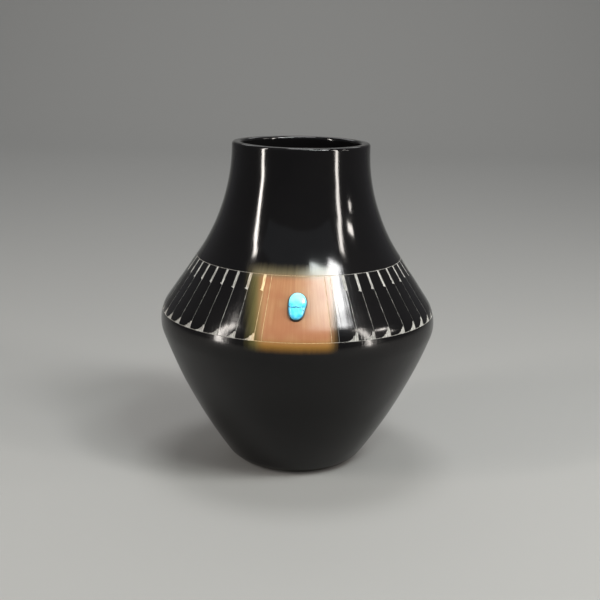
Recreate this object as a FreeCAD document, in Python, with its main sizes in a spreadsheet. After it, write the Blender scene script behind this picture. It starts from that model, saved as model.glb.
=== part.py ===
"""A small hand-coiled pueblo jar with a polished slip, a scraped ring of feathers and a turquoise stone.

Sizes are in millimetres. The jar stands on the XY plane with its axis on Z. Its front, with the stone, faces -Y.
Angles round the jar are counted from the front, and grow to the right as the jar is seen from the front.
"""

import FreeCAD
import Part

import math
import os

import Sketcher

# Driving sizes, in millimetres, degrees and counts
SIZES = {
    # The jar's outline
    "jar_height": 117.5,
    "belly_radius": 50.0,
    "belly_level": 53.3,
    "turn_radius": 13.5,
    "shoulder_slope": 34.0,
    "lower_wall_radius": 185.0,
    "foot_radius": 17.5,
    "foot_edge_radius": 9.5,
    "throat_radius": 24.75,
    "neck_sweep_radius": 70.0,
    "wall_thickness": 3.5,
    "lip_edge_radius": 1.1,
    "floor_thickness": 4.5,
    "floor_corner_radius": 8.0,
    # The laps between coils
    "lap_slope": 20.0,
    "base_lap_rise": 2.8,
    "shoulder_lap_rise": 9.3,
    # The coat of slip
    "slip_thickness": 0.3,
    "slip_foot_level": 1.2,
    "slip_mouth_depth": 14.0,
    # The scored rings and the scraped feathers between them
    "bottom_ring_rise": 3.6,
    "feather_band_height": 19.7,
    "line_width": 0.35,
    "line_depth": 0.18,
    "feather_count": 42,
    "panel_half_angle": 16.5,
    "panel_inner_half_angle": 13.5,
    "bar_width": 0.85,
    "bar_height": 5.2,
    "bar_slant": 0.7,
    "barb_reach": 0.4,
    "barb_drop": 0.25,
    "fin_length": 4.2,
    "fin_height": 2.2,
    "fin_hollow_radius": 4.0,
    # The stone and its seat
    "stone_rise": 8.0,
    "stone_length": 9.5,
    "stone_top_radius": 3.05,
    "stone_tip_radius": 2.3,
    "stone_sink": 0.9,
    "stone_proud": 1.8,
    "stone_dome_radius": 10.0,
    "adhesive_gap": 0.3,
    "adhesive_bed": 0.4,
    # How far cutting solids run past what they cut
    "overrun": 2.0,
}

BODY_COILS = ["lower_body_coil", "middle_body_coil", "belly_coil"]
NECK_COILS = ["shoulder_coil", "neck_coil", "rim_coil"]

START, END, CENTRE = range(1, 4)
ORIGIN = (-1, 1)

doc = FreeCAD.newDocument("pueblo_jar")


def size_sheet():
    """The sheet of driving sizes, one row each, with the size's name as its cell's alias."""
    sheet = doc.addObject("Spreadsheet::Sheet", "sizes")
    for row, (name, value) in enumerate(SIZES.items(), start=1):
        sheet.set(f"A{row}", name)
        sheet.set(f"B{row}", str(value))
        sheet.setAlias(f"B{row}", name)
    doc.recompute()
    return sheet


sizes = size_sheet()


def size(name):
    """A driving size's value, read from the sheet."""
    return float(sizes.get(name))


def cells(text):
    """The same expression with each driving size's name written as its cell in the sheet."""
    words = []
    word = ""
    for letter in text + " ":
        if letter.isalnum() or letter == "_":
            word += letter
            continue
        words.append(f"sizes.{word}" if word in SIZES else word)
        words.append(letter)
        word = ""
    return "".join(words).strip()


def point(across, up):
    """A point of a sketch."""
    return FreeCAD.Vector(across, up, 0)


def set_part(kind, name, **expressions):
    """A primitive whose sizes follow the sheet."""
    part = doc.addObject(kind, name)
    for key, text in expressions.items():
        part.setExpression(key.replace("__", "."), cells(text))
    return part


def combine(kind, name, base, tool):
    """A boolean of two parts."""
    part = doc.addObject(kind, name)
    part.Base = base
    part.Tool = tool
    return part


class Section:
    """A closed outline in a sketch on one of its body's planes: lines and arcs, joined and held by named sizes."""

    def __init__(self, body, name, role):
        self.sketch = body.newObject("Sketcher::SketchObject", name)
        plane = next(item for item in body.Origin.OriginFeatures if item.Role == role)
        self.sketch.AttachmentSupport = [(plane, "")]
        self.sketch.MapMode = "FlatFace"

    def line(self, start, end):
        return self.sketch.addGeometry(Part.LineSegment(point(*start), point(*end)), False)

    def arc(self, centre, radius, low, high):
        circle = Part.Circle(point(*centre), FreeCAD.Vector(0, 0, 1), radius)
        return self.sketch.addGeometry(Part.ArcOfCircle(circle, low, high), False)

    def tie(self, kind, *places):
        self.sketch.addConstraint(Sketcher.Constraint(kind, *places))

    def smooth(self, first, first_end, second, second_end):
        """Joins two ends with no corner."""
        self.tie("Tangent", first, first_end, second, second_end)

    def corner(self, first, first_end, second, second_end):
        """Joins two ends at a corner."""
        self.tie("Coincident", first, first_end, second, second_end)

    def same_centre(self, first, second):
        self.tie("Coincident", first, CENTRE, second, CENTRE)

    def held(self, constraint, text):
        index = self.sketch.addConstraint(constraint)
        self.sketch.setExpression(f"Constraints[{index}]", cells(text))

    def radius(self, arc, text):
        value = self.sketch.Geometry[arc].Radius
        self.held(Sketcher.Constraint("Radius", arc, value), text)

    def across(self, piece, end, text):
        value = self.sketch.getPoint(piece, end).x
        self.held(Sketcher.Constraint("DistanceX", piece, end, value), text)

    def up(self, piece, end, text):
        value = self.sketch.getPoint(piece, end).y
        self.held(Sketcher.Constraint("DistanceY", piece, end, value), text)

    def angle(self, line, text):
        run = self.sketch.Geometry[line]
        step = run.EndPoint - run.StartPoint
        self.held(Sketcher.Constraint("Angle", line, math.atan2(step.y, step.x)), text)

    def lip(self, face):
        """The jar's level lip between its two rounded edges, for one side of a layer. Gives the two edges back."""
        radius = size("lip_edge_radius") + face.out
        level = size("jar_height") + face.out
        above = math.pi / 2
        outer_edge = self.arc(outline.outer_edge, radius, outline.neck_to_outer_edge - math.pi, above)
        top = self.line((outline.outer_edge[0], level), (outline.inner_edge[0], level))
        inner_edge = self.arc(outline.inner_edge, radius, above, outline.neck_to_inner_edge)
        self.smooth(outer_edge, END, top, START)
        self.smooth(top, END, inner_edge, START)
        self.tie("Horizontal", top)
        self.up(top, START, f"jar_height {face.words}")
        self.radius(outer_edge, f"lip_edge_radius {face.words}")
        self.radius(inner_edge, f"lip_edge_radius {face.words}")
        return outer_edge, inner_edge


class Outline:
    """Where the arcs of the jar's outer outline have their centres, and the angles at which they meet."""

    def __init__(self):
        slope = math.radians(size("shoulder_slope"))
        wall = size("wall_thickness")
        turn_radius = size("turn_radius")
        sweep = size("neck_sweep_radius")
        self.foot = (size("foot_radius"), size("foot_edge_radius"))
        self.turn = (size("belly_radius") - turn_radius, size("belly_level"))
        self.wall = self.wall_centre()
        self.foot_to_wall = self.angle_from(self.wall, self.foot)
        self.wall_to_turn = self.angle_from(self.wall, self.turn)
        self.slope = slope
        self.out = (math.cos(slope), math.sin(slope))
        self.rise = (-math.sin(slope), math.cos(slope))
        neck_across = size("throat_radius") + sweep
        reach = turn_radius + sweep
        self.run = (self.turn[0] + reach * self.out[0] - neck_across) / math.sin(slope)
        self.neck = (neck_across, self.turn[1] + reach * self.out[1] + self.run * self.rise[1])
        edge_radius = size("lip_edge_radius")
        self.outer_edge = self.lip_edge(sweep + edge_radius)
        self.inner_edge = self.lip_edge(sweep + wall - edge_radius)
        self.neck_to_outer_edge = self.angle_from(self.neck, self.outer_edge) % (2 * math.pi)
        self.neck_to_inner_edge = self.angle_from(self.neck, self.inner_edge) % (2 * math.pi)
        corner = size("floor_corner_radius")
        corner_level = size("floor_thickness") + corner
        corner_reach = size("lower_wall_radius") - wall - corner
        corner_drop = corner_level - self.wall[1]
        self.corner = (self.wall[0] + math.sqrt(corner_reach**2 - corner_drop**2), corner_level)
        self.corner_to_wall = self.angle_from(self.wall, self.corner)

    def angle_from(self, centre, place):
        return math.atan2(place[1] - centre[1], place[0] - centre[0])

    def wall_centre(self):
        """The lower wall's arc touches the foot's arc and the turn's arc from outside."""
        to_foot = size("lower_wall_radius") - size("foot_edge_radius")
        to_turn = size("lower_wall_radius") - size("turn_radius")
        step = (self.turn[0] - self.foot[0], self.turn[1] - self.foot[1])
        gap = math.hypot(*step)
        along = (to_foot**2 - to_turn**2 + gap**2) / (2 * gap)
        aside = math.sqrt(to_foot**2 - along**2)
        return (
            self.foot[0] + (along * step[0] - aside * step[1]) / gap,
            self.foot[1] + (along * step[1] + aside * step[0]) / gap,
        )

    def lip_edge(self, reach):
        """The centre of one of the lip's two rounded edges, at this distance from the neck's centre."""
        level = size("jar_height") - size("lip_edge_radius")
        return (self.neck[0] - math.sqrt(reach**2 - (level - self.neck[1]) ** 2), level)

    def slope_end(self, radius):
        """The lower end of the straight shoulder, at this radius from the turn's centre."""
        return tuple(self.turn[i] + radius * self.out[i] for i in range(2))

    def slope_top(self, radius):
        """The upper end of the straight shoulder, at this radius from the turn's centre."""
        return tuple(self.slope_end(radius)[i] + self.run * self.rise[i] for i in range(2))


outline = Outline()


def revolve(body, section, name):
    """Turns a section once round the jar's axis."""
    turned = body.newObject("PartDesign::Revolution", name)
    turned.Profile = section.sketch
    turned.ReferenceAxis = (section.sketch, ["V_Axis"])
    turned.Angle = 360
    section.sketch.Visibility = False
    return turned


def whole_wall():
    """The whole wall and floor of the jar, before it is parted into coils."""
    body = doc.addObject("PartDesign::Body", "whole_wall")
    section = Section(body, "wall_section", "XZ_Plane")
    wall = size("wall_thickness")
    turn_radius = size("turn_radius")
    sweep = size("neck_sweep_radius")
    wall_radius = size("lower_wall_radius")
    floor = size("floor_thickness")
    under = math.pi / 2
    slope_foot = math.pi + outline.slope
    base = section.line((0, 0), (outline.foot[0], 0))
    foot = section.arc(outline.foot, size("foot_edge_radius"), -under, outline.foot_to_wall)
    lower = section.arc(outline.wall, wall_radius, outline.foot_to_wall, outline.wall_to_turn)
    turn = section.arc(outline.turn, turn_radius, outline.wall_to_turn, outline.slope)
    shoulder = section.line(outline.slope_end(turn_radius), outline.slope_top(turn_radius))
    neck = section.arc(outline.neck, sweep, outline.neck_to_outer_edge, slope_foot)
    outer_edge, inner_edge = section.lip(Face(""))
    inner_neck = section.arc(outline.neck, sweep + wall, outline.neck_to_inner_edge, slope_foot)
    inner_turn_radius = turn_radius - wall
    inner_shoulder = section.line(outline.slope_top(inner_turn_radius), outline.slope_end(inner_turn_radius))
    inner_turn = section.arc(outline.turn, inner_turn_radius, outline.wall_to_turn, outline.slope)
    inner_lower = section.arc(outline.wall, wall_radius - wall, outline.corner_to_wall, outline.wall_to_turn)
    corner = section.arc(outline.corner, size("floor_corner_radius"), -under, outline.corner_to_wall)
    floor_line = section.line((outline.corner[0], floor), (0, floor))
    axis = section.line((0, floor), (0, 0))
    section.smooth(base, END, foot, START)
    section.smooth(foot, END, lower, START)
    section.smooth(lower, END, turn, START)
    section.smooth(turn, END, shoulder, START)
    section.smooth(shoulder, END, neck, END)
    section.smooth(neck, START, outer_edge, START)
    section.smooth(inner_edge, END, inner_neck, START)
    section.smooth(inner_neck, END, inner_shoulder, START)
    section.smooth(inner_shoulder, END, inner_turn, END)
    section.smooth(inner_turn, START, inner_lower, END)
    section.smooth(inner_lower, START, corner, END)
    section.smooth(corner, START, floor_line, START)
    section.corner(floor_line, END, axis, START)
    section.corner(axis, END, base, START)
    section.corner(base, START, *ORIGIN)
    section.tie("Horizontal", base)
    section.tie("Horizontal", floor_line)
    section.tie("Vertical", axis)
    section.across(base, END, "foot_radius")
    section.radius(foot, "foot_edge_radius")
    section.radius(lower, "lower_wall_radius")
    section.radius(turn, "turn_radius")
    section.across(turn, CENTRE, "belly_radius - turn_radius")
    section.up(turn, CENTRE, "belly_level")
    section.angle(shoulder, "90 + shoulder_slope")
    section.radius(neck, "neck_sweep_radius")
    section.across(neck, CENTRE, "throat_radius + neck_sweep_radius")
    section.same_centre(inner_neck, neck)
    section.radius(inner_neck, "neck_sweep_radius + wall_thickness")
    section.same_centre(inner_turn, turn)
    section.radius(inner_turn, "turn_radius - wall_thickness")
    section.tie("Horizontal", inner_lower, CENTRE, lower, CENTRE)
    section.radius(inner_lower, "lower_wall_radius - wall_thickness")
    section.radius(corner, "floor_corner_radius")
    section.up(axis, START, "floor_thickness")
    revolve(body, section, "wall_turned")
    return body


class Face:
    """One side of a layer that follows the jar's skin: its distance outside the skin and the words for it."""

    def __init__(self, words):
        self.words = words
        self.out = 0
        if words:
            sign, name = words.split()
            self.out = size(name) if sign == "+" else -size(name)
        self.inward = words.translate(str.maketrans("+-", "-+"))


def skin_face(section, face):
    """The arcs and the line of one side of the layer, from the foot over the lip into the mouth."""
    out = face.out
    turn_radius = size("turn_radius") + out
    sweep = size("neck_sweep_radius") - out
    inner_sweep = size("neck_sweep_radius") + size("wall_thickness") + out
    foot_radius = size("foot_edge_radius") + out
    foot_drop = size("slip_foot_level") - outline.foot[1]
    mouth_drop = size("jar_height") - size("slip_mouth_depth") - outline.neck[1]
    mouth_angle = math.pi - math.asin(mouth_drop / inner_sweep)
    foot = section.arc(outline.foot, foot_radius, math.asin(foot_drop / foot_radius), outline.foot_to_wall)
    lower_radius = size("lower_wall_radius") + out
    lower = section.arc(outline.wall, lower_radius, outline.foot_to_wall, outline.wall_to_turn)
    turn = section.arc(outline.turn, turn_radius, outline.wall_to_turn, outline.slope)
    shoulder = section.line(outline.slope_end(turn_radius), outline.slope_top(turn_radius))
    neck = section.arc(outline.neck, sweep, outline.neck_to_outer_edge, math.pi + outline.slope)
    outer_edge, inner_edge = section.lip(face)
    mouth = section.arc(outline.neck, inner_sweep, outline.neck_to_inner_edge, mouth_angle)
    section.smooth(foot, END, lower, START)
    section.smooth(lower, END, turn, START)
    section.smooth(turn, END, shoulder, START)
    section.smooth(shoulder, END, neck, END)
    section.smooth(neck, START, outer_edge, START)
    section.smooth(inner_edge, END, mouth, START)
    section.radius(foot, f"foot_edge_radius {face.words}")
    section.across(foot, CENTRE, "foot_radius")
    section.up(foot, CENTRE, "foot_edge_radius")
    section.radius(lower, f"lower_wall_radius {face.words}")
    section.radius(turn, f"turn_radius {face.words}")
    section.across(turn, CENTRE, "belly_radius - turn_radius")
    section.up(turn, CENTRE, "belly_level")
    section.radius(neck, f"neck_sweep_radius {face.inward}")
    section.across(neck, CENTRE, "throat_radius + neck_sweep_radius")
    section.same_centre(mouth, neck)
    section.radius(mouth, f"neck_sweep_radius + wall_thickness {face.words}")
    section.angle(shoulder, "90 + shoulder_slope")
    return foot, mouth


def skin_layer(name, outside, inside):
    """A layer that follows the jar's skin from the foot over the lip into the mouth, between two distances from it."""
    body = doc.addObject("PartDesign::Body", name)
    section = Section(body, f"{name}_section", "XZ_Plane")
    outer_foot, outer_mouth = skin_face(section, Face(outside))
    inner_foot, inner_mouth = skin_face(section, Face(inside))
    for outer, inner, end, level in (
        (outer_foot, inner_foot, START, "slip_foot_level"),
        (outer_mouth, inner_mouth, END, "jar_height - slip_mouth_depth"),
    ):
        first = section.sketch.getPoint(outer, end)
        last = section.sketch.getPoint(inner, end)
        edge = section.line((first.x, first.y), (last.x, last.y))
        section.corner(edge, START, outer, end)
        section.corner(edge, END, inner, end)
        section.tie("Horizontal", edge)
        section.up(edge, START, level)
    revolve(body, section, f"{name}_turned")
    return body


TOP_RING = "belly_level + bottom_ring_rise + feather_band_height"
BOTTOM_RING = "belly_level + bottom_ring_rise"
SLOPE_START = "belly_radius - turn_radius * (1 - cos(shoulder_slope))"
SLOPE_HEIGHT = "bottom_ring_rise + feather_band_height - turn_radius * sin(shoulder_slope)"
SCRAPE_START = f"{SLOPE_START} - ({SLOPE_HEIGHT}) * tan(shoulder_slope) - overrun"


def ring_level(lift):
    """The level of the bottom ring, or of the top ring when the band's height is its lift."""
    return size("belly_level") + size("bottom_ring_rise") + lift


def polygon(section, corners):
    """Lines through corners, each given by its place and by the words for it. The last corner isn't joined back."""
    lines = []
    for here, there in zip(corners, corners[1:]):
        lines.append(section.line(here[0], there[0]))
    for line, corner in zip(lines, corners):
        section.across(line, START, corner[1])
        section.up(line, START, corner[2])
    section.across(lines[-1], END, corners[-1][1])
    section.up(lines[-1], END, corners[-1][2])
    for first, second in zip(lines, lines[1:]):
        section.corner(first, END, second, START)
    return lines


def scrape(body, section, name, azimuth):
    """Cuts a mark through the slip at an angle round the jar, outwards from just inside the wall at the top ring."""
    turn = FreeCAD.Rotation(FreeCAD.Vector(0, 1, 0), size("panel_half_angle"))
    section.sketch.AttachmentOffset = FreeCAD.Placement(FreeCAD.Vector(0, 0, 0), turn)
    section.sketch.setExpression("AttachmentOffset.Rotation.Angle", cells(azimuth))
    section.sketch.setExpression("AttachmentOffset.Base.x", cells(f"({SCRAPE_START}) * sin({azimuth})"))
    section.sketch.setExpression("AttachmentOffset.Base.z", cells(f"({SCRAPE_START}) * cos({azimuth})"))
    cut = body.newObject("PartDesign::Pocket", name)
    cut.Profile = section.sketch
    cut.Reversed = True
    cut.Refine = False
    cut.setExpression("Length", cells(f"belly_radius + overrun - ({SCRAPE_START})"))
    section.sketch.Visibility = False
    return cut


def feather_mark(body):
    """One feather's marks: its quill line, the bar beside the line at the top and the fin at the bottom."""
    section = Section(body, "feather_section", "XZ_Plane")
    half_line = size("line_width") / 2
    top = ring_level(size("feather_band_height"))
    bottom = ring_level(0)
    bar_left = -(half_line + size("bar_width"))
    bar_foot = top - size("bar_height") + size("bar_slant")
    left = "-(line_width / 2 + bar_width)"
    foot = f"{TOP_RING} - bar_height + bar_slant"
    barb_left = bar_left - size("barb_reach")
    barb_foot = bar_foot - size("barb_drop")
    fin_left = -(half_line + size("fin_length"))
    lines = polygon(
        section,
        [
            ((fin_left, bottom), "-(line_width / 2 + fin_length)", BOTTOM_RING),
            ((half_line, bottom), "line_width / 2", BOTTOM_RING),
            ((half_line, top), "line_width / 2", TOP_RING),
            ((bar_left, top), left, TOP_RING),
            ((bar_left, bar_foot), left, foot),
            ((barb_left, barb_foot), "-(line_width / 2 + bar_width + barb_reach)", f"{foot} - barb_drop"),
            ((-half_line, top - size("bar_height")), "-(line_width / 2)", f"{TOP_RING} - bar_height"),
            ((-half_line, bottom + size("fin_height")), "-(line_width / 2)", f"{BOTTOM_RING} + fin_height"),
        ],
    )
    step = (-size("fin_length"), -size("fin_height"))
    chord = math.hypot(*step)
    radius = size("fin_hollow_radius")
    aside = math.sqrt(radius**2 - (chord / 2) ** 2)
    middle = (-half_line + step[0] / 2, bottom + size("fin_height") + step[1] / 2)
    centre = (middle[0] + aside * step[1] / chord, middle[1] - aside * step[0] / chord)
    low = math.atan2(bottom - centre[1], fin_left - centre[0])
    high = math.atan2(bottom + size("fin_height") - centre[1], -half_line - centre[0])
    hollow = section.arc(centre, radius, low, high)
    section.corner(hollow, START, lines[0], START)
    section.corner(hollow, END, lines[-1], END)
    section.radius(hollow, "fin_hollow_radius")
    pitch = "(360 - 2 * panel_half_angle) / feather_count"
    mark = scrape(body, section, "feather_scraped", f"panel_half_angle + {pitch}")
    ring = body.newObject("PartDesign::PolarPattern", "feather_ring")
    ring.Originals = [mark]
    ring.Refine = False
    axis = next(item for item in body.Origin.OriginFeatures if item.Role == "Z_Axis")
    ring.Axis = (axis, [""])
    ring.setExpression("Angle", cells(f"(360 - 2 * panel_half_angle) - {pitch}"))
    ring.setExpression("Occurrences", cells("feather_count"))
    body.Tip = ring


def panel_line(body, name, azimuth):
    """One plain line beside the front panel."""
    section = Section(body, f"{name}_section", "XZ_Plane")
    half_line = size("line_width") / 2
    top = ring_level(size("feather_band_height"))
    bottom = ring_level(0)
    lines = polygon(
        section,
        [
            ((-half_line, top), "-(line_width / 2)", TOP_RING),
            ((-half_line, bottom), "-(line_width / 2)", BOTTOM_RING),
            ((half_line, bottom), "line_width / 2", BOTTOM_RING),
            ((half_line, top), "line_width / 2", TOP_RING),
        ],
    )
    lid = section.line((half_line, top), (-half_line, top))
    section.corner(lines[-1], END, lid, START)
    section.corner(lid, END, lines[0], START)
    body.Tip = scrape(body, section, name, azimuth)


def ring_scores():
    """The two scored rings: thin level slices of the slip's outermost layer."""
    layer = skin_layer("scored_layer", "+ overrun", "- line_depth")
    slices = []
    for name, level in (("top_ring_slice", TOP_RING), ("bottom_ring_slice", BOTTOM_RING)):
        slices.append(
            set_part(
                "Part::Cylinder",
                name,
                Radius="belly_radius + 2 * overrun",
                Height="line_width",
                Placement__Base__z=f"{level} - line_width / 2",
            )
        )
    both = combine("Part::Fuse", "ring_slices", *slices)
    return combine("Part::Common", "ring_scores", layer, both)


def stone_outline(body, name, grow, depth, height):
    """A pad of the stone's outline, wide at the top and narrow at its tip, larger all round by the named gap."""
    section = Section(body, f"{name}_section", "XY_Plane")
    more = size(grow.split()[1]) if grow else 0
    half = size("stone_length") / 2
    top_radius = size("stone_top_radius")
    tip_radius = size("stone_tip_radius")
    top_up = half - top_radius
    tip_up = tip_radius - half
    lean = math.asin((top_radius - tip_radius) / (top_up - tip_up))
    top = section.arc((0, top_up), top_radius + more, -lean, math.pi + lean)
    tip = section.arc((0, tip_up), tip_radius + more, math.pi + lean, 2 * math.pi - lean)
    sides = []
    for ends in ((START, END), (END, START)):
        first = section.sketch.getPoint(top, ends[0])
        last = section.sketch.getPoint(tip, ends[1])
        side = section.line((first.x, first.y), (last.x, last.y))
        section.smooth(side, START, top, ends[0])
        section.smooth(side, END, tip, ends[1])
        sides.append(side)
    section.radius(top, f"stone_top_radius {grow}")
    section.radius(tip, f"stone_tip_radius {grow}")
    section.across(top, CENTRE, "0")
    section.across(tip, CENTRE, "0")
    section.up(top, CENTRE, "stone_length / 2 - stone_top_radius")
    section.up(tip, CENTRE, "stone_tip_radius - stone_length / 2")
    section.sketch.setExpression("AttachmentOffset.Base.z", cells(f"-({depth})"))
    pad = body.newObject("PartDesign::Pad", name)
    pad.Profile = section.sketch
    pad.setExpression("Length", cells(f"{depth} + {height}"))
    section.sketch.Visibility = False


def set_on_shoulder(part):
    """Places a part on the straight shoulder at the front, its own Z straight out of the wall."""
    part.Placement = FreeCAD.Placement(
        FreeCAD.Vector(0, 0, 0),
        FreeCAD.Rotation(FreeCAD.Vector(1, 0, 0), size("shoulder_slope")),
    )
    lower_end = "belly_radius - turn_radius + turn_radius * cos(shoulder_slope)"
    lower_level = "belly_level + turn_radius * sin(shoulder_slope)"
    part.setExpression("Placement.Base.y", cells(f"-({lower_end} - stone_rise * sin(shoulder_slope))"))
    part.setExpression("Placement.Base.z", cells(f"{lower_level} + stone_rise * cos(shoulder_slope)"))
    part.setExpression("Placement.Rotation.Angle", cells("90 - shoulder_slope"))


def turquoise_stone():
    """The stone: its outline padded through its depth, under a dome."""
    body = doc.addObject("PartDesign::Body", "stone_blank")
    stone_outline(body, "stone_pad", "", "stone_sink", "stone_proud")
    dome = set_part(
        "Part::Sphere",
        "stone_dome",
        Radius="stone_dome_radius",
        Placement__Base__z="stone_proud - stone_dome_radius",
    )
    stone = combine("Part::Common", "turquoise_stone", body, dome)
    set_on_shoulder(stone)
    return stone


def seat_plug():
    """The space of the stone's seat, from the bottom of the bed to well outside the wall."""
    body = doc.addObject("PartDesign::Body", "seat_plug")
    stone_outline(body, "seat_pad", "+ adhesive_gap", "stone_sink + adhesive_bed", "stone_proud + overrun")
    set_on_shoulder(body)
    return body


def lap_cutter(name, level):
    """All that lies above a lap: a funnel that rises outwards at the lap's slope from a level at the foot's radius."""
    return set_part(
        "Part::Cone",
        name,
        Radius1="foot_radius",
        Height=f"jar_height + overrun - ({level})",
        Radius2=f"foot_radius + (jar_height + overrun - ({level})) / tan(lap_slope)",
        Placement__Base__z=level,
    )


def lap_levels():
    """The level of each lap at the foot's radius: evenly spaced to the shoulder, and evenly from there to the rim."""
    first = "floor_thickness + base_lap_rise"
    shoulder = "belly_level + shoulder_lap_rise - (belly_radius - foot_radius) * tan(lap_slope)"
    levels = []
    for low, high, names in ((first, shoulder, BODY_COILS), (shoulder, "jar_height", NECK_COILS)):
        for step, name in enumerate(names):
            share = f"{step} / {len(names)}"
            levels.append((name, f"{low} + (({high}) - ({low})) * {share}"))
    return levels


def clay_coils(clay):
    """Parts the clay wall at its laps: the base pat, then each coil, from the floor up."""
    pieces = []
    rest = clay
    below = "base_pat"
    for name, level in lap_levels():
        cutter = lap_cutter(f"{name}_cutter", level)
        pieces.append(combine("Part::Cut", below, rest, cutter))
        rest = combine("Part::Common", f"{name}_and_above", rest, cutter)
        below = name
    rest.Label = below
    pieces.append(rest)
    return pieces


def burnished_slip(plug):
    """The coat of slip with its marks: feathers and panel lines scraped through, rings scored, the seat cut out."""
    coat = skin_layer("slip_coat", "", "- slip_thickness")
    scored = combine("Part::Cut", "scored_slip", coat, ring_scores())
    seated = combine("Part::Cut", "seated_slip", scored, plug)
    body = doc.addObject("PartDesign::Body", "burnished_slip")
    body.BaseFeature = seated
    doc.recompute()
    panel_line(body, "right_panel_line", "panel_half_angle")
    panel_line(body, "right_inner_line", "panel_inner_half_angle")
    panel_line(body, "left_inner_line", "-panel_inner_half_angle")
    feather_mark(body)
    return body


def build():
    """Makes every piece and returns those that are kept."""
    wall = whole_wall()
    plug = seat_plug()
    stone = turquoise_stone()
    room = skin_layer("slip_room", "+ overrun", "- slip_thickness")
    bare = combine("Part::Cut", "bare_clay", wall, room)
    clay = combine("Part::Cut", "clay", bare, plug)
    seat = combine("Part::Common", "seat_space", wall, plug)
    adhesive = combine("Part::Cut", "stone_adhesive", seat, stone)
    return clay_coils(clay) + [burnished_slip(plug), adhesive, stone]


def check(parts):
    """Stops if anything in the document failed, or a kept piece has no sound shape."""
    for item in doc.Objects:
        if "Invalid" in item.State or "Error" in item.State:
            raise RuntimeError(f"{item.Label} failed")
    for part in parts:
        if part.Shape.isNull() or not part.Shape.isValid() or part.Shape.Volume <= 0:
            raise RuntimeError(f"{part.Label} has no sound shape")


kept = build()
doc.recompute()
check(kept)
os.makedirs("parts", exist_ok=True)
for part in kept:
    part.Shape.exportStep(os.path.join("parts", f"{part.Label}.step"))
    print(part.Label, "solids", len(part.Shape.Solids), "volume", round(part.Shape.Volume, 1))
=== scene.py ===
"""A polished black pueblo jar with a sienna spot, a scraped ring of feathers and a turquoise stone.

Lengths are in metres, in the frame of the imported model: the jar stands on z = 0 with its axis on Z, and its
front faces -Y. Angles round the jar are counted from the front, and grow to the right as the jar is seen
from the front.
"""

import math
import random

import bpy
from mathutils import Matrix, Vector


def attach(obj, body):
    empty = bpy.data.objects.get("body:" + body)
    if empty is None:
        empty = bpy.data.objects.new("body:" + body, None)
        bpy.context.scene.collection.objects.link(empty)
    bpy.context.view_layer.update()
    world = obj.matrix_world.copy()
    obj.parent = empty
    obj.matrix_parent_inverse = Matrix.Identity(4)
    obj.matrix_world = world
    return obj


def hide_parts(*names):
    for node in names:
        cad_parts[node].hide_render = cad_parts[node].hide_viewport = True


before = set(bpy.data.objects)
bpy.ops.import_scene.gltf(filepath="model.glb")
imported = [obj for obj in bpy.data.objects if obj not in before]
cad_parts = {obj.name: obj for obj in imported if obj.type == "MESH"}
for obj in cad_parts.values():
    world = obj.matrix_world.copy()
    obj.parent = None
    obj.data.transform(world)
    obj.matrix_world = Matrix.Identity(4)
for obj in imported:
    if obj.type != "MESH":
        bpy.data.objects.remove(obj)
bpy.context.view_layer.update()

MM = 0.001

# The jar's outline
JAR_HEIGHT = 117.5 * MM
BELLY_RADIUS = 50.0 * MM
BELLY_LEVEL = 53.3 * MM
TURN_RADIUS = 13.5 * MM
SHOULDER_SLOPE = math.radians(34.0)
LOWER_WALL_RADIUS = 185.0 * MM
FOOT_RADIUS = 17.5 * MM
FOOT_EDGE_RADIUS = 9.5 * MM
THROAT_RADIUS = 24.75 * MM
NECK_SWEEP_RADIUS = 70.0 * MM
WALL_THICKNESS = 3.5 * MM
LIP_EDGE_RADIUS = 1.1 * MM

# The coat of slip
SLIP_THICKNESS = 0.3 * MM
SLIP_FOOT_LEVEL = 1.2 * MM
SLIP_MOUTH_DEPTH = 14.0 * MM

# The scored rings and the scraped feathers between them
BOTTOM_RING = BELLY_LEVEL + 3.6 * MM
TOP_RING = BOTTOM_RING + 19.7 * MM
LINE_WIDTH = 0.17 * MM
MARK_DEPTH = 0.1 * MM
RING_DEPTH = 0.12 * MM
FEATHER_COUNT = 42
PANEL_HALF_ANGLE = math.radians(16.5)
PANEL_INNER_HALF_ANGLE = math.radians(13.5)
BAR_WIDTH = 0.85 * MM
BAR_HEIGHT = 5.2 * MM
BAR_SLANT = 0.7 * MM
BARB_REACH = 0.4 * MM
BARB_DROP = 0.25 * MM
FIN_LENGTH = 4.2 * MM
FIN_HEIGHT = 2.2 * MM

# The stone on the shoulder
STONE_RISE = 8.0 * MM
STONE_LENGTH = 9.5 * MM
STONE_TOP_RADIUS = 3.05 * MM
STONE_SINK = 0.9 * MM
STONE_PROUD = 1.8 * MM
ADHESIVE_GAP = 0.3 * MM
ADHESIVE_BED = 0.4 * MM


# Modelling helpers


def pick(piece):
    """Makes one piece the only selected and the active one."""
    bpy.ops.object.select_all(action="DESELECT")
    piece.select_set(True)
    bpy.context.view_layer.objects.active = piece


def edit(piece):
    """Opens a piece's mesh with all of it selected."""
    pick(piece)
    bpy.ops.object.mode_set(mode="EDIT")
    bpy.ops.mesh.select_all(action="SELECT")


def leave():
    bpy.ops.object.mode_set(mode="OBJECT")


def apply(piece, kind, **settings):
    """Adds a modifier with these settings and applies it."""
    pick(piece)
    modifier = piece.modifiers.new(kind.title(), kind)
    for key, value in settings.items():
        setattr(modifier, key, value)
    bpy.ops.object.modifier_apply(modifier=modifier.name)


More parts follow.
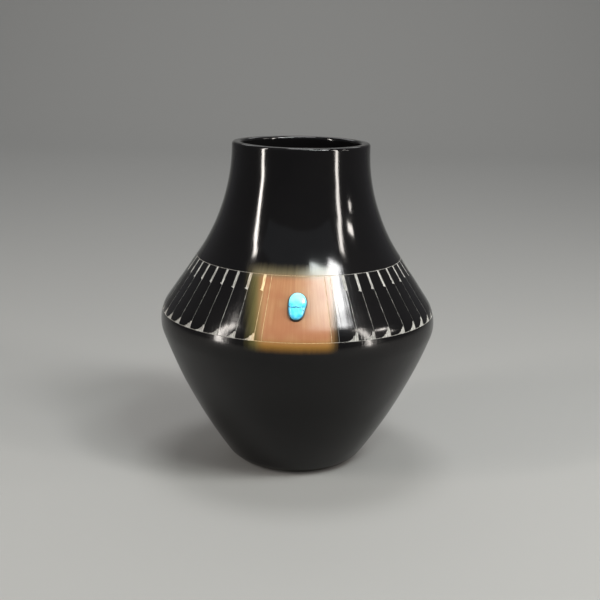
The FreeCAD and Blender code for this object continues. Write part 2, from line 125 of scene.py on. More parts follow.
def trace(name, points):
    """A new piece that is one line of edges through these points, drawn by extruding a single vertex."""
    bpy.ops.mesh.primitive_plane_add(size=MM)
    piece = bpy.context.object
    piece.name = name
    bpy.ops.object.mode_set(mode="EDIT")
    bpy.ops.mesh.merge(type="CENTER")
    bpy.ops.transform.translate(value=points[0])
    for here, there in zip(points, points[1:]):
        bpy.ops.mesh.extrude_region_move(TRANSFORM_OT_translate={"value": there - here})
    leave()
    return piece


def join(pieces, name):
    """One piece made of several."""
    pick(pieces[0])
    for piece in pieces[1:]:
        piece.select_set(True)
    bpy.ops.object.join()
    pieces[0].name = name
    return pieces[0]


def drop(piece):
    bpy.data.objects.remove(piece, do_unlink=True)


def arc(centre, radius, low, high, steps):
    """Points on an arc, from one angle to another."""
    turns = [low + (high - low) * step / steps for step in range(steps + 1)]
    return [(centre[0] + radius * math.cos(turn), centre[1] + radius * math.sin(turn)) for turn in turns]


# The jar's outline as (radius, height), and how many steps each of its stretches has

FOOT_STEPS = 8
WALL_STEPS = 24
TURN_STEPS = 10
TURN_TOP_STEPS = 4
SHOULDER_STEPS = 16
NECK_STEPS = 28
LIP_STEPS = 7
MOUTH_STEPS = 8


class Outline:
    """Where the arcs of the jar's outer outline have their centres, and the angles at which they meet."""

    def __init__(self):
        self.foot = (FOOT_RADIUS, FOOT_EDGE_RADIUS)
        self.turn = (BELLY_RADIUS - TURN_RADIUS, BELLY_LEVEL)
        self.wall = self.wall_centre()
        self.foot_to_wall = self.angle_from(self.wall, self.foot)
        self.wall_to_turn = self.angle_from(self.wall, self.turn)
        self.out = (math.cos(SHOULDER_SLOPE), math.sin(SHOULDER_SLOPE))
        self.rise = (-math.sin(SHOULDER_SLOPE), math.cos(SHOULDER_SLOPE))
        across = THROAT_RADIUS + NECK_SWEEP_RADIUS
        reach = TURN_RADIUS + NECK_SWEEP_RADIUS
        self.run = (self.turn[0] + reach * self.out[0] - across) / math.sin(SHOULDER_SLOPE)
        self.neck = (across, self.turn[1] + reach * self.out[1] + self.run * self.rise[1])
        self.outer_edge = self.lip_edge(NECK_SWEEP_RADIUS + LIP_EDGE_RADIUS)
        self.inner_edge = self.lip_edge(NECK_SWEEP_RADIUS + WALL_THICKNESS - LIP_EDGE_RADIUS)
        self.neck_to_outer_edge = self.angle_from(self.neck, self.outer_edge) % (2 * math.pi)
        self.neck_to_inner_edge = self.angle_from(self.neck, self.inner_edge) % (2 * math.pi)

    def angle_from(self, centre, place):
        return math.atan2(place[1] - centre[1], place[0] - centre[0])

    def wall_centre(self):
        """The lower wall's arc touches the foot's arc and the turn's arc from outside."""
        to_foot = LOWER_WALL_RADIUS - FOOT_EDGE_RADIUS
        to_turn = LOWER_WALL_RADIUS - TURN_RADIUS
        step = (self.turn[0] - self.foot[0], self.turn[1] - self.foot[1])
        gap = math.hypot(*step)
        along = (to_foot**2 - to_turn**2 + gap**2) / (2 * gap)
        aside = math.sqrt(to_foot**2 - along**2)
        return (
            self.foot[0] + (along * step[0] - aside * step[1]) / gap,
            self.foot[1] + (along * step[1] + aside * step[0]) / gap,
        )

    def lip_edge(self, reach):
        """The centre of one of the lip's two rounded edges, at this distance from the neck's centre."""
        level = JAR_HEIGHT - LIP_EDGE_RADIUS
        return (self.neck[0] - math.sqrt(reach**2 - (level - self.neck[1]) ** 2), level)

    def shoulder(self, share):
        """A point of the straight shoulder, by its share of the way up."""
        start_at = [self.turn[i] + TURN_RADIUS * self.out[i] for i in range(2)]
        return tuple(start_at[i] + share * self.run * self.rise[i] for i in range(2))

    def turn_angle(self, level):
        """The angle on the belly's turn at a level."""
        return math.asin((level - self.turn[1]) / TURN_RADIUS)

    def neck_angle(self, level):
        """The angle on the neck's sweep at a level."""
        return math.pi - math.asin((level - self.neck[1]) / NECK_SWEEP_RADIUS)

    def score(self, centre, radius, angle, way):
        """A scored line's four places across an arc: an edge, the two sides of its floor, and an edge."""
        half = LINE_WIDTH / 2 / radius
        turns = [angle + way * share * half for share in (-1, -0.5, 0.5, 1)]
        return [(centre[0] + radius * math.cos(turn), centre[1] + radius * math.sin(turn)) for turn in turns]

    def skin(self, scored):
        """The slip's outer side from the foot into the mouth, and which of its points are a ring's floor."""
        low = self.turn_angle(BOTTOM_RING)
        high = self.neck_angle(TOP_RING)
        edge = LINE_WIDTH
        foot_start = math.asin((SLIP_FOOT_LEVEL - self.foot[1]) / FOOT_EDGE_RADIUS)
        inside = NECK_SWEEP_RADIUS + WALL_THICKNESS
        mouth_end = math.pi - math.asin((JAR_HEIGHT - SLIP_MOUTH_DEPTH - self.neck[1]) / inside)
        neck_start = high - edge / NECK_SWEEP_RADIUS
        lip_start = self.neck_to_outer_edge - math.pi
        above = math.pi / 2
        floors = []
        points = arc(self.foot, FOOT_EDGE_RADIUS, foot_start, self.foot_to_wall, FOOT_STEPS)
        points += arc(self.wall, LOWER_WALL_RADIUS, self.foot_to_wall, self.wall_to_turn, WALL_STEPS)[1:]
        points += arc(self.turn, TURN_RADIUS, self.wall_to_turn, low - edge / TURN_RADIUS, TURN_STEPS)[1:]
        if scored:
            floors += [len(points) + 1, len(points) + 2]
            points += self.score(self.turn, TURN_RADIUS, low, 1)
        points += arc(self.turn, TURN_RADIUS, low + edge / TURN_RADIUS, SHOULDER_SLOPE, TURN_TOP_STEPS)
        points += [self.shoulder(step / SHOULDER_STEPS) for step in range(1, SHOULDER_STEPS)]
        if scored:
            floors += [len(points) + 1, len(points) + 2]
            points += self.score(self.neck, NECK_SWEEP_RADIUS, high, -1)
        points += arc(self.neck, NECK_SWEEP_RADIUS, neck_start, self.neck_to_outer_edge, NECK_STEPS)
        points += arc(self.outer_edge, LIP_EDGE_RADIUS, lip_start, above, LIP_STEPS)[1:]
        points += arc(self.inner_edge, LIP_EDGE_RADIUS, above, self.neck_to_inner_edge, LIP_STEPS)
        points += arc(self.neck, inside, self.neck_to_inner_edge, mouth_end, MOUTH_STEPS)[1:]
        return points, floors


OUTLINE = Outline()


# The polished slip and what is cut through it

SKIN_STEPS = 256
SEAM = 0.001 * MM
WAVES = [("broad_waves", 16.0 * MM, 0.24 * MM), ("fine_waves", 5.0 * MM, 0.03 * MM)]
CORE_MARGIN = 3.0 * MM
CORE_THICKNESS = 2.0 * MM
CUT_OVERRUN = 2.0 * MM
CUT_START = OUTLINE.shoulder(1)[0] - CUT_OVERRUN
CUT_REACH = BELLY_RADIUS + CUT_OVERRUN - CUT_START
RING_FLOORS = "ring_floors"
SMOOTH_ANGLE = math.radians(40)

# The coat's second material, and how far under the unmarked skin a face with it lies
SCRAPED = 1
SCRAPED_FROM = 0.2 * MARK_DEPTH
SCRAPED_TO = 1.5 * RING_DEPTH


def spun(name, profile, floors=()):
    """A shell turned once round the jar's axis from (radius, height) points, its ring floors in a group."""
    piece = trace(name, [Vector((radius, 0, height)) for radius, height in profile])
    if floors:
        piece.vertex_groups.new(name=RING_FLOORS).add(floors, 1.0, "REPLACE")
    edit(piece)
    bpy.ops.mesh.spin(steps=SKIN_STEPS, angle=2 * math.pi, center=(0, 0, 0), axis=(0, 0, 1))
    bpy.ops.mesh.select_all(action="SELECT")
    bpy.ops.mesh.remove_doubles(threshold=SEAM)
    bpy.ops.mesh.normals_make_consistent(inside=False)
    leave()
    if sum(face.normal.dot(face.center * face.area) for face in piece.data.polygons) < 0:
        edit(piece)
        bpy.ops.mesh.flip_normals()
        leave()
    return piece


def prism(name, azimuth, outline):
    """A cutting solid at an angle round the jar, from (across, up) points as seen from outside."""
    out = Vector((math.sin(azimuth), -math.cos(azimuth), 0))
    right = Vector((math.cos(azimuth), math.sin(azimuth), 0))
    points = [out * CUT_START + right * across + Vector((0, 0, up)) for across, up in outline]
    piece = trace(name, points + points[:1])
    edit(piece)
    bpy.ops.mesh.remove_doubles(threshold=SEAM)
    bpy.ops.mesh.edge_face_add()
    bpy.ops.mesh.extrude_region_move(TRANSFORM_OT_translate={"value": out * CUT_REACH})
    bpy.ops.mesh.select_all(action="SELECT")
    bpy.ops.mesh.normals_make_consistent(inside=False)
    leave()
    return piece


def panel_line(azimuth):
    """One plain line beside the front panel."""
    half = LINE_WIDTH / 2
    corners = [(-half, TOP_RING), (-half, BOTTOM_RING), (half, BOTTOM_RING), (half, TOP_RING)]
    return prism("panel_line", azimuth, corners)


# How far the marks stray as a hand scrapes them: shares of a size, millimetres, and a share of the pitch
FIN_TEETH = 4
TOOTH = 0.7 * MM
TOOTH_LIFT_SHARES = (0.2, 1.0)
LINE_SHARES = (0.85, 1.15)
BAR_SHARES = (0.88, 1.1)
BARB_SHARES = (0.6, 1.2)
FIN_SHARES = (0.95, 1.35)
BAR_END_STRAY = 0.35
BAR_EDGE_STRAY = 0.05
PITCH_STRAY = 0.03
SCRAPING_SEED = 5


def fin_edge(draw, top):
    """The fin's ragged edge, from the quill line down to the fin's tip, like a low flame."""
    points = []
    for tooth in range(FIN_TEETH):
        for share, lift in ((tooth + 0.5, draw.uniform(*TOOTH_LIFT_SHARES)), (tooth + 0.95, 0)):
            along = share / (FIN_TEETH + 0.5)
            up = (1 - along) ** 2 * (top - BOTTOM_RING) + (1 - along) * lift * TOOTH
            points.append((-LINE_WIDTH - FIN_LENGTH * along, BOTTOM_RING + up))
    return points


def feather(azimuth, draw):
    """One feather: its quill line, the bar beside the line at the top and the toothed fin at the bottom."""
    half = LINE_WIDTH / 2 * draw.uniform(*LINE_SHARES)
    bar_left = -half - BAR_WIDTH * draw.uniform(*BAR_SHARES)
    bar_end = TOP_RING - BAR_HEIGHT + draw.uniform(-BAR_END_STRAY, BAR_END_STRAY) * MM
    bar_foot = bar_end + BAR_SLANT
    fin_top = BOTTOM_RING + FIN_HEIGHT * draw.uniform(*FIN_SHARES)
    outline = [(-LINE_WIDTH - FIN_LENGTH, BOTTOM_RING), (half, BOTTOM_RING)]
    outline += [(half, TOP_RING), (bar_left, TOP_RING)]
    for share in (0.25, 0.5, 0.75):
        level = TOP_RING + (bar_foot - TOP_RING) * share
        outline.append((bar_left + draw.uniform(-BAR_EDGE_STRAY, BAR_EDGE_STRAY) * MM, level))
    outline += [
        (bar_left, bar_foot),
        (bar_left - BARB_REACH * draw.uniform(*BARB_SHARES), bar_foot - BARB_DROP),
        (-half, bar_end),
        (-half, fin_top),
    ]
    return prism("feather", azimuth, outline + fin_edge(draw, fin_top))


def feather_ring():
    """All the marks between the two rings as one cutting piece."""
    draw = random.Random(SCRAPING_SEED)
    pitch = (2 * math.pi - 2 * PANEL_HALF_ANGLE) / FEATHER_COUNT
    panel = (PANEL_HALF_ANGLE, PANEL_INNER_HALF_ANGLE, -PANEL_INNER_HALF_ANGLE)
    marks = [panel_line(azimuth) for azimuth in panel]
    for step in range(1, FEATHER_COUNT + 1):
        stray = 0 if step == FEATHER_COUNT else draw.uniform(-PITCH_STRAY, PITCH_STRAY)
        marks.append(feather(PANEL_HALF_ANGLE + pitch * (step + stray), draw))
    return join(marks, "feather_ring")


def wavy(name, profile, floors=()):
    """A shell turned from an outline, and a little wavy as by a polishing hand."""
    piece = spun(name, profile, floors)
    for title, length, depth in WAVES:
        waves = bpy.data.textures.new(title, "CLOUDS")
        waves.noise_scale = length
        waves.noise_depth = 1
        apply(piece, "DISPLACE", texture=waves, strength=depth, mid_level=1.0)
    return piece


def cut(piece, cutter):
    """Cuts one piece with another, which is used up."""
    apply(piece, "BOOLEAN", operation="DIFFERENCE", object=cutter, solver="MANIFOLD")
    drop(cutter)


def shallow_marks():
    """The marks between the rings as a cutting piece, kept clear of all that lies under their depth."""
    low = BOTTOM_RING - CORE_MARGIN
    high = TOP_RING + CORE_MARGIN
    core = wavy("core", [point for point in OUTLINE.skin(scored=False)[0] if low < point[1] < high])
    apply(core, "DISPLACE", strength=-MARK_DEPTH, mid_level=0.0)
    apply(core, "SOLIDIFY", thickness=CORE_THICKNESS, offset=-1.0)
    marks = feather_ring()
    cut(marks, core)
    return marks


def polished_coat():
    """The coat of slip: turned, made wavy, thickened, scored, and cut by the marks and the stone's seat."""
    skin = wavy("unmarked_skin", *OUTLINE.skin(scored=False))
    coat = wavy("slip_coat", *OUTLINE.skin(scored=True))
    outside = len(coat.data.vertices)
    apply(coat, "SOLIDIFY", thickness=SLIP_THICKNESS, offset=-1.0)
    coat.vertex_groups[RING_FLOORS].remove(list(range(outside, len(coat.data.vertices))))
    apply(coat, "DISPLACE", vertex_group=RING_FLOORS, strength=-RING_DEPTH, mid_level=0.0)
    coat.vertex_groups.clear()
    cut(coat, shallow_marks())
    cut(coat, seat_plug())
    finish_piece(coat, "burnished_slip", [polished_slip(), scraped_clay()])
    expose_cuts(coat, skin)
    drop(skin)
    return coat


def expose_cuts(coat, skin):
    """Gives the sides and floors of the marks and of the scored rings the bare clay's finish."""
    for face in coat.data.polygons:
        if not BOTTOM_RING - LINE_WIDTH < face.center.z < TOP_RING + LINE_WIDTH:
            continue
        near = skin.closest_point_on_mesh(face.center)[1]
        if SCRAPED_FROM < (near - face.center).length < SCRAPED_TO:
            face.material_index = SCRAPED


def finish_piece(piece, node, materials):
    """Smooths a piece, gives it its materials and lets it stand for its CAD node."""
    pick(piece)
    bpy.ops.object.shade_smooth_by_angle(angle=SMOOTH_ANGLE)
    piece.data.materials.clear()
    for material in materials:
        piece.data.materials.append(material)
    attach(piece, "root")
    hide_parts(node)


# The stone and its adhesive

STONE_OUTLINE_SHARES = [
    (0.0, 1.0), (0.38, 0.95), (0.72, 0.79), (0.945, 0.55), (1.0, 0.27), (0.93, 0.01), (0.78, -0.18),
    (0.765, -0.34), (0.69, -0.53), (0.48, -0.79), (0.17, -0.96), (-0.2, -1.0), (-0.55, -0.93),
    (-0.79, -0.72), (-0.92, -0.49), (-0.96, -0.16), (-0.97, 0.175), (-0.92, 0.505), (-0.72, 0.79),
    (-0.38, 0.95),
]
STONE_STEP_SHARES = [(0.0, 1.0), (0.5, 1.0), (0.78, 0.93), (0.93, 0.76), (0.99, 0.48), (1.0, 0.2)]


def on_shoulder(across, up, out):
    """A point by the stone's seat: across to the right, up the slope and out of the wall."""
    start = OUTLINE.shoulder(0)
    along = STONE_RISE + up
    radius = start[0] - along * math.sin(SHOULDER_SLOPE) + out * math.cos(SHOULDER_SLOPE)
    height = start[1] + along * math.cos(SHOULDER_SLOPE) + out * math.sin(SHOULDER_SLOPE)
    return Vector((across, -radius, height))


OUT_OF_WALL = on_shoulder(0, 0, 1) - on_shoulder(0, 0, 0)
PLUG_HEIGHT = 4 * MM


def stone_ring(name, out, grow=0.0):
    """The stone's outline as a closed loop at a height out of the wall, left open for more editing."""
    across = STONE_TOP_RADIUS + grow
    up = STONE_LENGTH / 2 + grow
    points = [on_shoulder(x * across, y * up, out) for x, y in STONE_OUTLINE_SHARES]
    piece = trace(name, points + points[:1])
    edit(piece)
    bpy.ops.mesh.remove_doubles(threshold=SEAM)
    return piece


def seat_plug():
    """The space of the stone's seat."""
    plug = stone_ring("seat_plug", -(STONE_SINK + ADHESIVE_BED), ADHESIVE_GAP)
    bpy.ops.mesh.edge_face_add()
    bpy.ops.mesh.extrude_region_move(TRANSFORM_OT_translate={"value": OUT_OF_WALL * PLUG_HEIGHT})
    bpy.ops.mesh.select_all(action="SELECT")
    bpy.ops.mesh.normals_make_consistent(inside=False)
    leave()
    return plug


def turquoise_stone():
    """The stone: its outline raised in steps to a low dome, and rounded."""
    stone = stone_ring("turquoise_cabochon", -STONE_SINK)
    bpy.ops.mesh.edge_face_add()
    height = -STONE_SINK
    width = 1.0
    for rise, share in STONE_STEP_SHARES:
        level = rise * STONE_PROUD
        bpy.ops.mesh.extrude_region_move(TRANSFORM_OT_translate={"value": OUT_OF_WALL * (level - height)})
        bpy.ops.transform.resize(value=(share / width,) * 3, center_override=on_shoulder(0, 0, level))
        height, width = level, share
    bpy.ops.mesh.select_all(action="SELECT")
    bpy.ops.mesh.normals_make_consistent(inside=False)
    leave()
    apply(stone, "SUBSURF", levels=3, render_levels=3)
    finish_piece(stone, "turquoise_stone", [turquoise()])
    return stone


BEAD_RADIUS = 0.34 * MM
BEAD_SINK = 0.05 * MM
BEAD_GROW = 0.1 * MM
BEAD_LEAST_SHARE = 0.75
# How much thicker the bead grows below the stone: painted shade under the stone, on top of the real adhesive
# there
BEAD_LOW_SHADE_SHARE = 1.3


def adhesive_and_shade_bead():
    """The line of dark adhesive round the stone, widest below it, where the added width is painted shade
    under the stone.
    """
    bead = stone_ring("adhesive_and_shade_bead", -BEAD_SINK, BEAD_GROW)
    leave()
    pick(bead)
    bpy.ops.object.convert(target="CURVE")
    spline = bead.data.splines[0]
    # Below the stone the bead is thickened into painted shade under the stone
    for place in spline.points:
        low = (on_shoulder(0, 0, 0).z - place.co.z) / STONE_LENGTH
        place.radius = BEAD_LEAST_SHARE + max(0.0, low) * BEAD_LOW_SHADE_SHARE
    spline.type = "NURBS"
    spline.order_u = 4
    bead.data.bevel_depth = BEAD_RADIUS
    bead.data.bevel_resolution = 4
    bead.data.resolution_u = 6
    bpy.ops.object.convert(target="MESH")
    finish_piece(bead, "stone_adhesive", [dark_adhesive()])
    return bead


# Finishes


def tint(red, green, blue):
    """A shader colour from a display colour of 0 to 255."""

    def linear(value):
        share = value / 255
        return share / 12.92 if share <= 0.04045 else ((share + 0.055) / 1.055) ** 2.4

    return (linear(red), linear(green), linear(blue), 1.0)


class Flow:
    """A shader socket that takes part in arithmetic: each operator adds a Math node."""

    def __init__(self, finish, socket):
        self.finish = finish
        self.socket = socket

    def math(self, operation, *values):
        return self.finish.node("ShaderNodeMath", {"operation": operation}, dict(enumerate(values)))

    def __add__(self, other):
        return self.math("ADD", self, other)

    def __radd__(self, other):
        return self.math("ADD", other, self)

    def __sub__(self, other):
        return self.math("SUBTRACT", self, other)

    def __rsub__(self, other):
        return self.math("SUBTRACT", other, self)

    def __mul__(self, other):
        return self.math("MULTIPLY", self, other)

    def __rmul__(self, other):
        return self.math("MULTIPLY", other, self)

    def __truediv__(self, other):
        return self.math("DIVIDE", self, other)

    def __pow__(self, other):
        return self.math("POWER", self, other)


class Finish:
    """A material built of nodes, with the place on the jar in millimetres as x, y and z."""

    def __init__(self, name):
        self.material = bpy.data.materials.new(name)
        self.material.use_nodes = True
        self.tree = self.material.node_tree
        self.tree.nodes.clear()
        here = self.node("ShaderNodeTexCoord", output="Object")
        self.place = self.stretch(here, (1 / MM, 1 / MM, 1 / MM))
        self.x, self.y, self.z = [
            self.node("ShaderNodeSeparateXYZ", None, {0: self.place}, axis) for axis in range(3)
        ]
        self.radius = (self.x**2 + self.y**2) ** 0.5

    def node(self, kind, settings=None, inputs=None, output=0):
        """Adds a node: its settings are made first, and then its sockets get their values or links."""
        node = self.tree.nodes.new(kind)
        for key, value in (settings or {}).items():
            setattr(node, key, value)
        for key, value in (inputs or {}).items():
            if isinstance(value, Flow):
                self.tree.links.new(value.socket, node.inputs[key])
            else:
                node.inputs[key].default_value = value
        return Flow(self, node.outputs[output]) if node.outputs else None

    def stretch(self, vector, factors):
        return self.node("ShaderNodeVectorMath", {"operation": "MULTIPLY"}, {0: vector, 1: factors})

    def mix(self, factor, first, second):
        """A colour that goes from the first to the second as the factor goes from 0 to 1."""
        return self.node("ShaderNodeMix", {"data_type": "RGBA"}, {0: factor, 6: first, 7: second}, 2)

    def edge(self, value, low, high):
        """A mask that rises softly from 0 at low to 1 at high, or falls where low is the larger."""
        limits = {"Value": value, "From Min": low, "From Max": high}
        return self.node("ShaderNodeMapRange", {"interpolation_type": "SMOOTHSTEP"}, limits)

    def noise(self, size, along=(1, 1, 1), detail=2.0, roughness=0.5):
        """Noise with features of this size in millimetres, and longer where along is under 1."""
        vector = self.stretch(self.place, along)
        inputs = {"Vector": vector, "Scale": 1 / size, "Detail": detail, "Roughness": roughness}
        return self.node("ShaderNodeTexNoise", None, inputs)

    def strokes(self, size, rise):
        """Noise in strokes that run up the wall: so many millimetres wide, and rise times as long."""
        reach = BELLY_RADIUS / MM / size
        across = self.x / self.radius * reach
        back = self.y / self.radius * reach
        vector = self.node("ShaderNodeCombineXYZ", None, {0: across, 1: back, 2: self.z / (size * rise)})
        inputs = {"Vector": vector, "Scale": 1.0, "Detail": 3.0, "Roughness": 0.6}
        return self.node("ShaderNodeTexNoise", None, inputs)

    def bump(self, height, distance):
        """Bump from a height of 0 to 1 that stands for this distance in millimetres."""
        inputs = {"Height": height, "Distance": distance * MM, "Strength": 1.0}
        return self.node("ShaderNodeBump", None, inputs)

    def shade(self, **sockets):
        """Ends the material in a Principled shader with these sockets, spaces written as underscores."""
        inputs = {key.replace("_", " "): value for key, value in sockets.items()}
        shader = self.node("ShaderNodeBsdfPrincipled", None, inputs)
        self.node("ShaderNodeOutputMaterial", None, {"Surface": shader})
        return self.material


# Where the sienna spot's four edges fade, in millimetres: from no sienna to full sienna
SPOT_LEFT = (-18.3, -12.2)
SPOT_RIGHT = (14.2, 9.8)
SPOT_TOP = (80.5, 74.5)
SPOT_FOOT = (52.6, 56.4)


def spot_mask(finish, strokes):
    """Where the fire kept the front clear of smoke: 1 in the spot and 0 round it, with a streaked edge."""
    left = finish.edge(finish.x + (strokes - 0.5) * 3, *SPOT_LEFT)
    right = finish.edge(finish.x + (strokes - 0.5) * 2, *SPOT_RIGHT)
    top = finish.edge(finish.z + (strokes - 0.5) * 2, *SPOT_TOP)
    foot = finish.edge(finish.z + (strokes - 0.5) * 0.8, *SPOT_FOOT)
    front = finish.edge(finish.y, -15.0, -25.0)
    return left * right * top * foot * front


def spot_colour(finish, strokes):
    """The spot's sienna, with olive and amber margins."""
    ruddy = finish.edge(finish.noise(9.0), 0.4, 0.65)
    core = finish.mix(finish.edge(strokes, 0.2, 0.8), tint(148, 111, 79), tint(135, 94, 65))
    core = finish.mix(ruddy * 0.6, core, tint(131, 83, 58))
    amber = finish.edge(finish.z, 58.5, 55.0)
    olive = finish.edge(finish.x, -10.2, -14.6)
    faded = finish.edge(finish.x, 9.5, 13.5)
    smoked = finish.edge(finish.z, 74.8, 77.5)
    warm = finish.mix(amber, core, tint(122, 88, 40))
    margin = finish.mix(olive, warm, tint(84, 78, 44))
    margin = finish.mix(faded * 0.7, margin, tint(104, 84, 46))
    return finish.mix(smoked, margin, tint(110, 102, 78))


def polished_slip():
    """Stone-polished slip, smoked black and glossy above the belly, satin below it."""
    finish = Finish("polished_slip")
    strokes = finish.strokes(0.8, 22.0)
    clouds = finish.noise(22.0, detail=3.0)
    brushed = finish.edge(finish.z, 84.0, 72.0)
    black = finish.mix(clouds, tint(6, 6, 7), tint(14, 13, 13))
    spot = spot_mask(finish, strokes)
    satin = finish.edge(finish.z, 57.0, 51.0)
    roughness = 0.05 + strokes * 0.05 + clouds * 0.03 + brushed * 0.04 + satin * 0.1 + spot * 0.13
    fine = finish.bump(strokes * (brushed * 0.8 + 0.2), 0.028)
    return finish.shade(
        Base_Color=finish.mix(spot, black, spot_colour(finish, strokes)),
        Roughness=roughness,
        Normal=fine,
        IOR=1.35,
    )


def bare_clay(finish, strokes):
    """Scraped clay's colour: pale grey, and tan where the spot is."""
    mottled = finish.edge(strokes, 0.35, 0.65)
    grey = finish.mix(mottled, tint(158, 157, 152), tint(96, 95, 92))
    tan = finish.mix(mottled, tint(206, 184, 142), tint(166, 142, 102))
    return finish.mix(spot_mask(finish, strokes), grey, tan)


def scraped_clay():
    """The clay on the sides of the marks and in the scored rings."""
    finish = Finish("scraped_clay")
    strokes = finish.strokes(0.3, 5.0)
    return finish.shade(Base_Color=bare_clay(finish, strokes), Roughness=0.8)


def smoked_clay():
    """The clay of the wall: dark and smoothed inside and below, scraped pale outside in the feather ring."""
    finish = Finish("smoked_clay")
    strokes = finish.noise(0.22, (1, 1, 0.12), 2.0)
    wipes = finish.noise(2.6, (0.15, 0.15, 1), 3.0)
    grit = finish.noise(0.5, detail=2.0)
    shoulder = OUTLINE.shoulder(0)
    fall = finish.radius + (finish.z - shoulder[1] / MM) * math.tan(SHOULDER_SLOPE)
    outside = finish.edge(fall, shoulder[0] / MM - 2.5, shoulder[0] / MM - 1.5)
    band = finish.edge(finish.z, BOTTOM_RING / MM - 1, BOTTOM_RING / MM - 0.5)
    band *= finish.edge(finish.z, TOP_RING / MM + 1, TOP_RING / MM + 0.5)
    scraped = outside * band
    dark = finish.mix(wipes, tint(44, 40, 37), tint(62, 56, 50))
    height = scraped * strokes + (1 - scraped) * (wipes * 0.8 + grit * 0.2)
    return finish.shade(
        Base_Color=finish.mix(scraped, dark, bare_clay(finish, strokes)),
        Roughness=0.62 + wipes * 0.2,
        Normal=finish.bump(height, 0.06),
    )


def turquoise():
    """Polished turquoise: sky blue, paler in clouds, with dark veins of matrix."""
    finish = Finish("turquoise")
    clouds = finish.noise(1.6, detail=4.0)
    wander = (finish.noise(1.1, detail=3.0) - 0.5) * 1.2
    up = (finish.z - on_shoulder(0, 0, 0).z / MM) / math.cos(SHOULDER_SLOPE)
    body = finish.mix(finish.edge(clouds, 0.35, 0.65), tint(52, 170, 216), tint(98, 200, 228))
    pale = finish.edge(up + wander, 1.0, 4.2)
    body = finish.mix(pale * 0.7, body, tint(150, 226, 236))
    vein = finish.edge((up - 0.45 + wander * 0.8) ** 2, 0.11, 0.0) * finish.edge(finish.x, 4.0, 0.0)
    fleck = finish.edge((up + 0.75) ** 2 + (finish.x - 1.9) ** 2, 0.16, 0.0)
    threads = finish.edge(finish.noise(0.9, detail=5.0, roughness=0.7), 0.62, 0.72)
    dark = vein.math("MAXIMUM", vein, fleck)
    return finish.shade(
        Base_Color=finish.mix(dark * 0.85 + threads * 0.12, body, tint(20, 70, 84)),
        Roughness=0.12 + clouds * 0.08,
        Normal=finish.bump(clouds, 0.02),
    )


def dark_adhesive():
    """Set adhesive: nearly black, with a soft gloss."""
    finish = Finish("dark_adhesive")
    lumps = finish.noise(0.5, detail=3.0)
    return finish.shade(
        Base_Color=finish.mix(lumps, tint(16, 13, 11), tint(34, 28, 22)),
        Roughness=0.25 + lumps * 0.2,
        Normal=finish.bump(lumps, 0.05),
    )


# Build

bpy.ops.object.select_all(action="DESELECT")
CLAY_COILS = [
    "base_pat",
    "lower_body_coil",
    "middle_body_coil",
    "belly_coil",
    "shoulder_coil",
    "neck_coil",
    "rim_coil",
]
polished_coat()
turquoise_stone()
adhesive_and_shade_bead()
clay = smoked_clay()
for name in CLAY_COILS:
    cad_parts[name].data.materials.clear()
    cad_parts[name].data.materials.append(clay)


# The studio

FLOOR_HALF = 1.1
SWEEP_RADIUS = 0.6
SWEEP_STEPS = 12
BACKDROP_RISE = 1.0


def matt_floor():
    """The floor's pale, matt finish."""
    finish = Finish("studio_floor")
    return finish.shade(Base_Color=tint(124, 124, 122), Roughness=0.9)


def studio_floor():
    """A pale floor that sweeps up behind the jar."""
    bpy.ops.mesh.primitive_plane_add(size=2 * FLOOR_HALF)
    floor = bpy.context.object
    floor.name = "studio_floor"
    bpy.ops.object.mode_set(mode="EDIT")
    bpy.ops.mesh.select_all(action="DESELECT")
    leave()
    for edge in floor.data.edges:
        edge.select = all(floor.data.vertices[index].co.y > 0 for index in edge.vertices)
    bpy.ops.object.mode_set(mode="EDIT")
    sweep_centre = (0, FLOOR_HALF, SWEEP_RADIUS)
    bpy.ops.mesh.spin(steps=SWEEP_STEPS, angle=-math.pi / 2, center=sweep_centre, axis=(1, 0, 0))
    bpy.ops.mesh.extrude_region_move(TRANSFORM_OT_translate={"value": (0, 0, BACKDROP_RISE)})
    leave()
    bpy.ops.object.shade_smooth_by_angle(angle=SMOOTH_ANGLE)
    floor.data.materials.append(matt_floor())


def lamp(name, azimuth, elevation, distance, width, height, radiance, colour):
    """A soft lamp of this width and height that faces the jar's middle, as bright as its radiance."""
    side = math.radians(azimuth)
    lift = math.radians(elevation)
    aim = Vector((0, 0, JAR_HEIGHT / 2))
    back = Vector((math.sin(side) * math.cos(lift), -math.cos(side) * math.cos(lift), math.sin(lift)))
    bpy.ops.object.light_add(type="AREA", location=aim + back * distance)
    light = bpy.context.object
    light.name = name
    light.rotation_euler = (-back).to_track_quat("-Z", "Y").to_euler()
    light.data.shape = "RECTANGLE"
    light.data.size = width
    light.data.size_y = height
    light.data.energy = radiance * math.pi * width * height
    light.data.color = colour
    light.visible_camera = False
    return light


def backdrop_wash():
    """A lamp above the backdrop that shines straight down, to light it as evenly as the floor."""
    wash = lamp(*WASH)
    wash.rotation_euler = (0, 0, 0)


def dim_room(radiance):
    """The little light that comes from all round."""
    world = bpy.data.worlds.new("dim_room")
    world.use_nodes = True
    background = world.node_tree.nodes["Background"]
    background.inputs["Color"].default_value = (radiance, radiance, radiance * 1.05, 1)
    bpy.context.scene.world = world


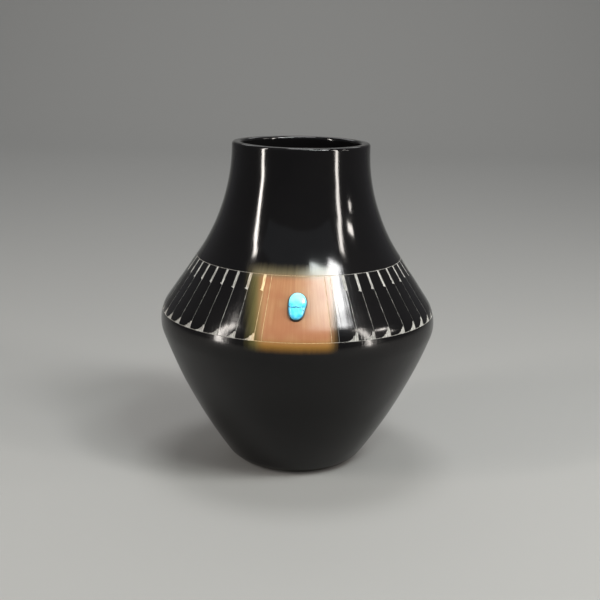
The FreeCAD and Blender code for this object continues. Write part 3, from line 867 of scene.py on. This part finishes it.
LENS = 65.57
SENSOR = 36.0
CAMERA_DISTANCE = 391.0 * MM
CAMERA_HEIGHT = 153.6 * MM
CAMERA_SIDE = 0.8 * MM
CAMERA_PITCH = math.radians(13.54)
CAMERA_ROLL = math.radians(1.25)


def photo_camera():
    """The camera, at the photograph's viewing angle."""
    bpy.ops.object.camera_add(location=(CAMERA_SIDE, -CAMERA_DISTANCE, CAMERA_HEIGHT))
    camera = bpy.context.object
    camera.data.lens = LENS
    camera.data.sensor_width = SENSOR
    turn = Matrix.Rotation(math.pi / 2 - CAMERA_PITCH, 3, "X") @ Matrix.Rotation(CAMERA_ROLL, 3, "Z")
    camera.rotation_euler = turn.to_euler()
    bpy.context.scene.camera = camera


WHITE = (1, 1, 1)
WARM = (1.0, 0.94, 0.88)
COOL = (0.82, 0.92, 1.0)
PALE_GREEN = (0.93, 1.0, 0.97)

# Each lamp's name, azimuth and elevation in degrees, distance, width, height, radiance and colour
LAMPS = [
    ("right_strip", 59, 17, 0.65, 0.05, 0.52, 40, WARM),
    ("left_strip", -62, 17.5, 0.65, 0.042, 0.53, 58, WARM),
    ("low_glint", 81, 17, 0.65, 0.045, 0.045, 30, WARM),
    ("high_glint", 76, 26, 0.65, 0.085, 0.04, 42, WARM),
    ("right_glare", 49, 50.5, 0.70, 0.125, 0.145, 58, WHITE),
    ("cream_halo", 29, 52.5, 0.70, 0.175, 0.085, 38, PALE_GREEN),
    ("halo_foot", 31, 59, 0.70, 0.13, 0.07, 9, PALE_GREEN),
    ("halo_edge", 9, 57, 0.70, 0.12, 0.09, 7, PALE_GREEN),
    ("sky_glow", 0, 44, 0.90, 1.5, 0.30, 0.25, COOL),
    ("top_box", 180, 84, 1.2, 0.42, 0.42, 14, WHITE),
]
WASH = ("backdrop_wash", 180, 41, 1.6, 1.8, 0.7, 2.4, WHITE)
ROOM_RADIANCE = 0.13

studio_floor()
for settings in LAMPS:
    lamp(*settings)
backdrop_wash()
dim_room(ROOM_RADIANCE)
photo_camera()
bpy.context.scene.view_settings.view_transform = "Standard"
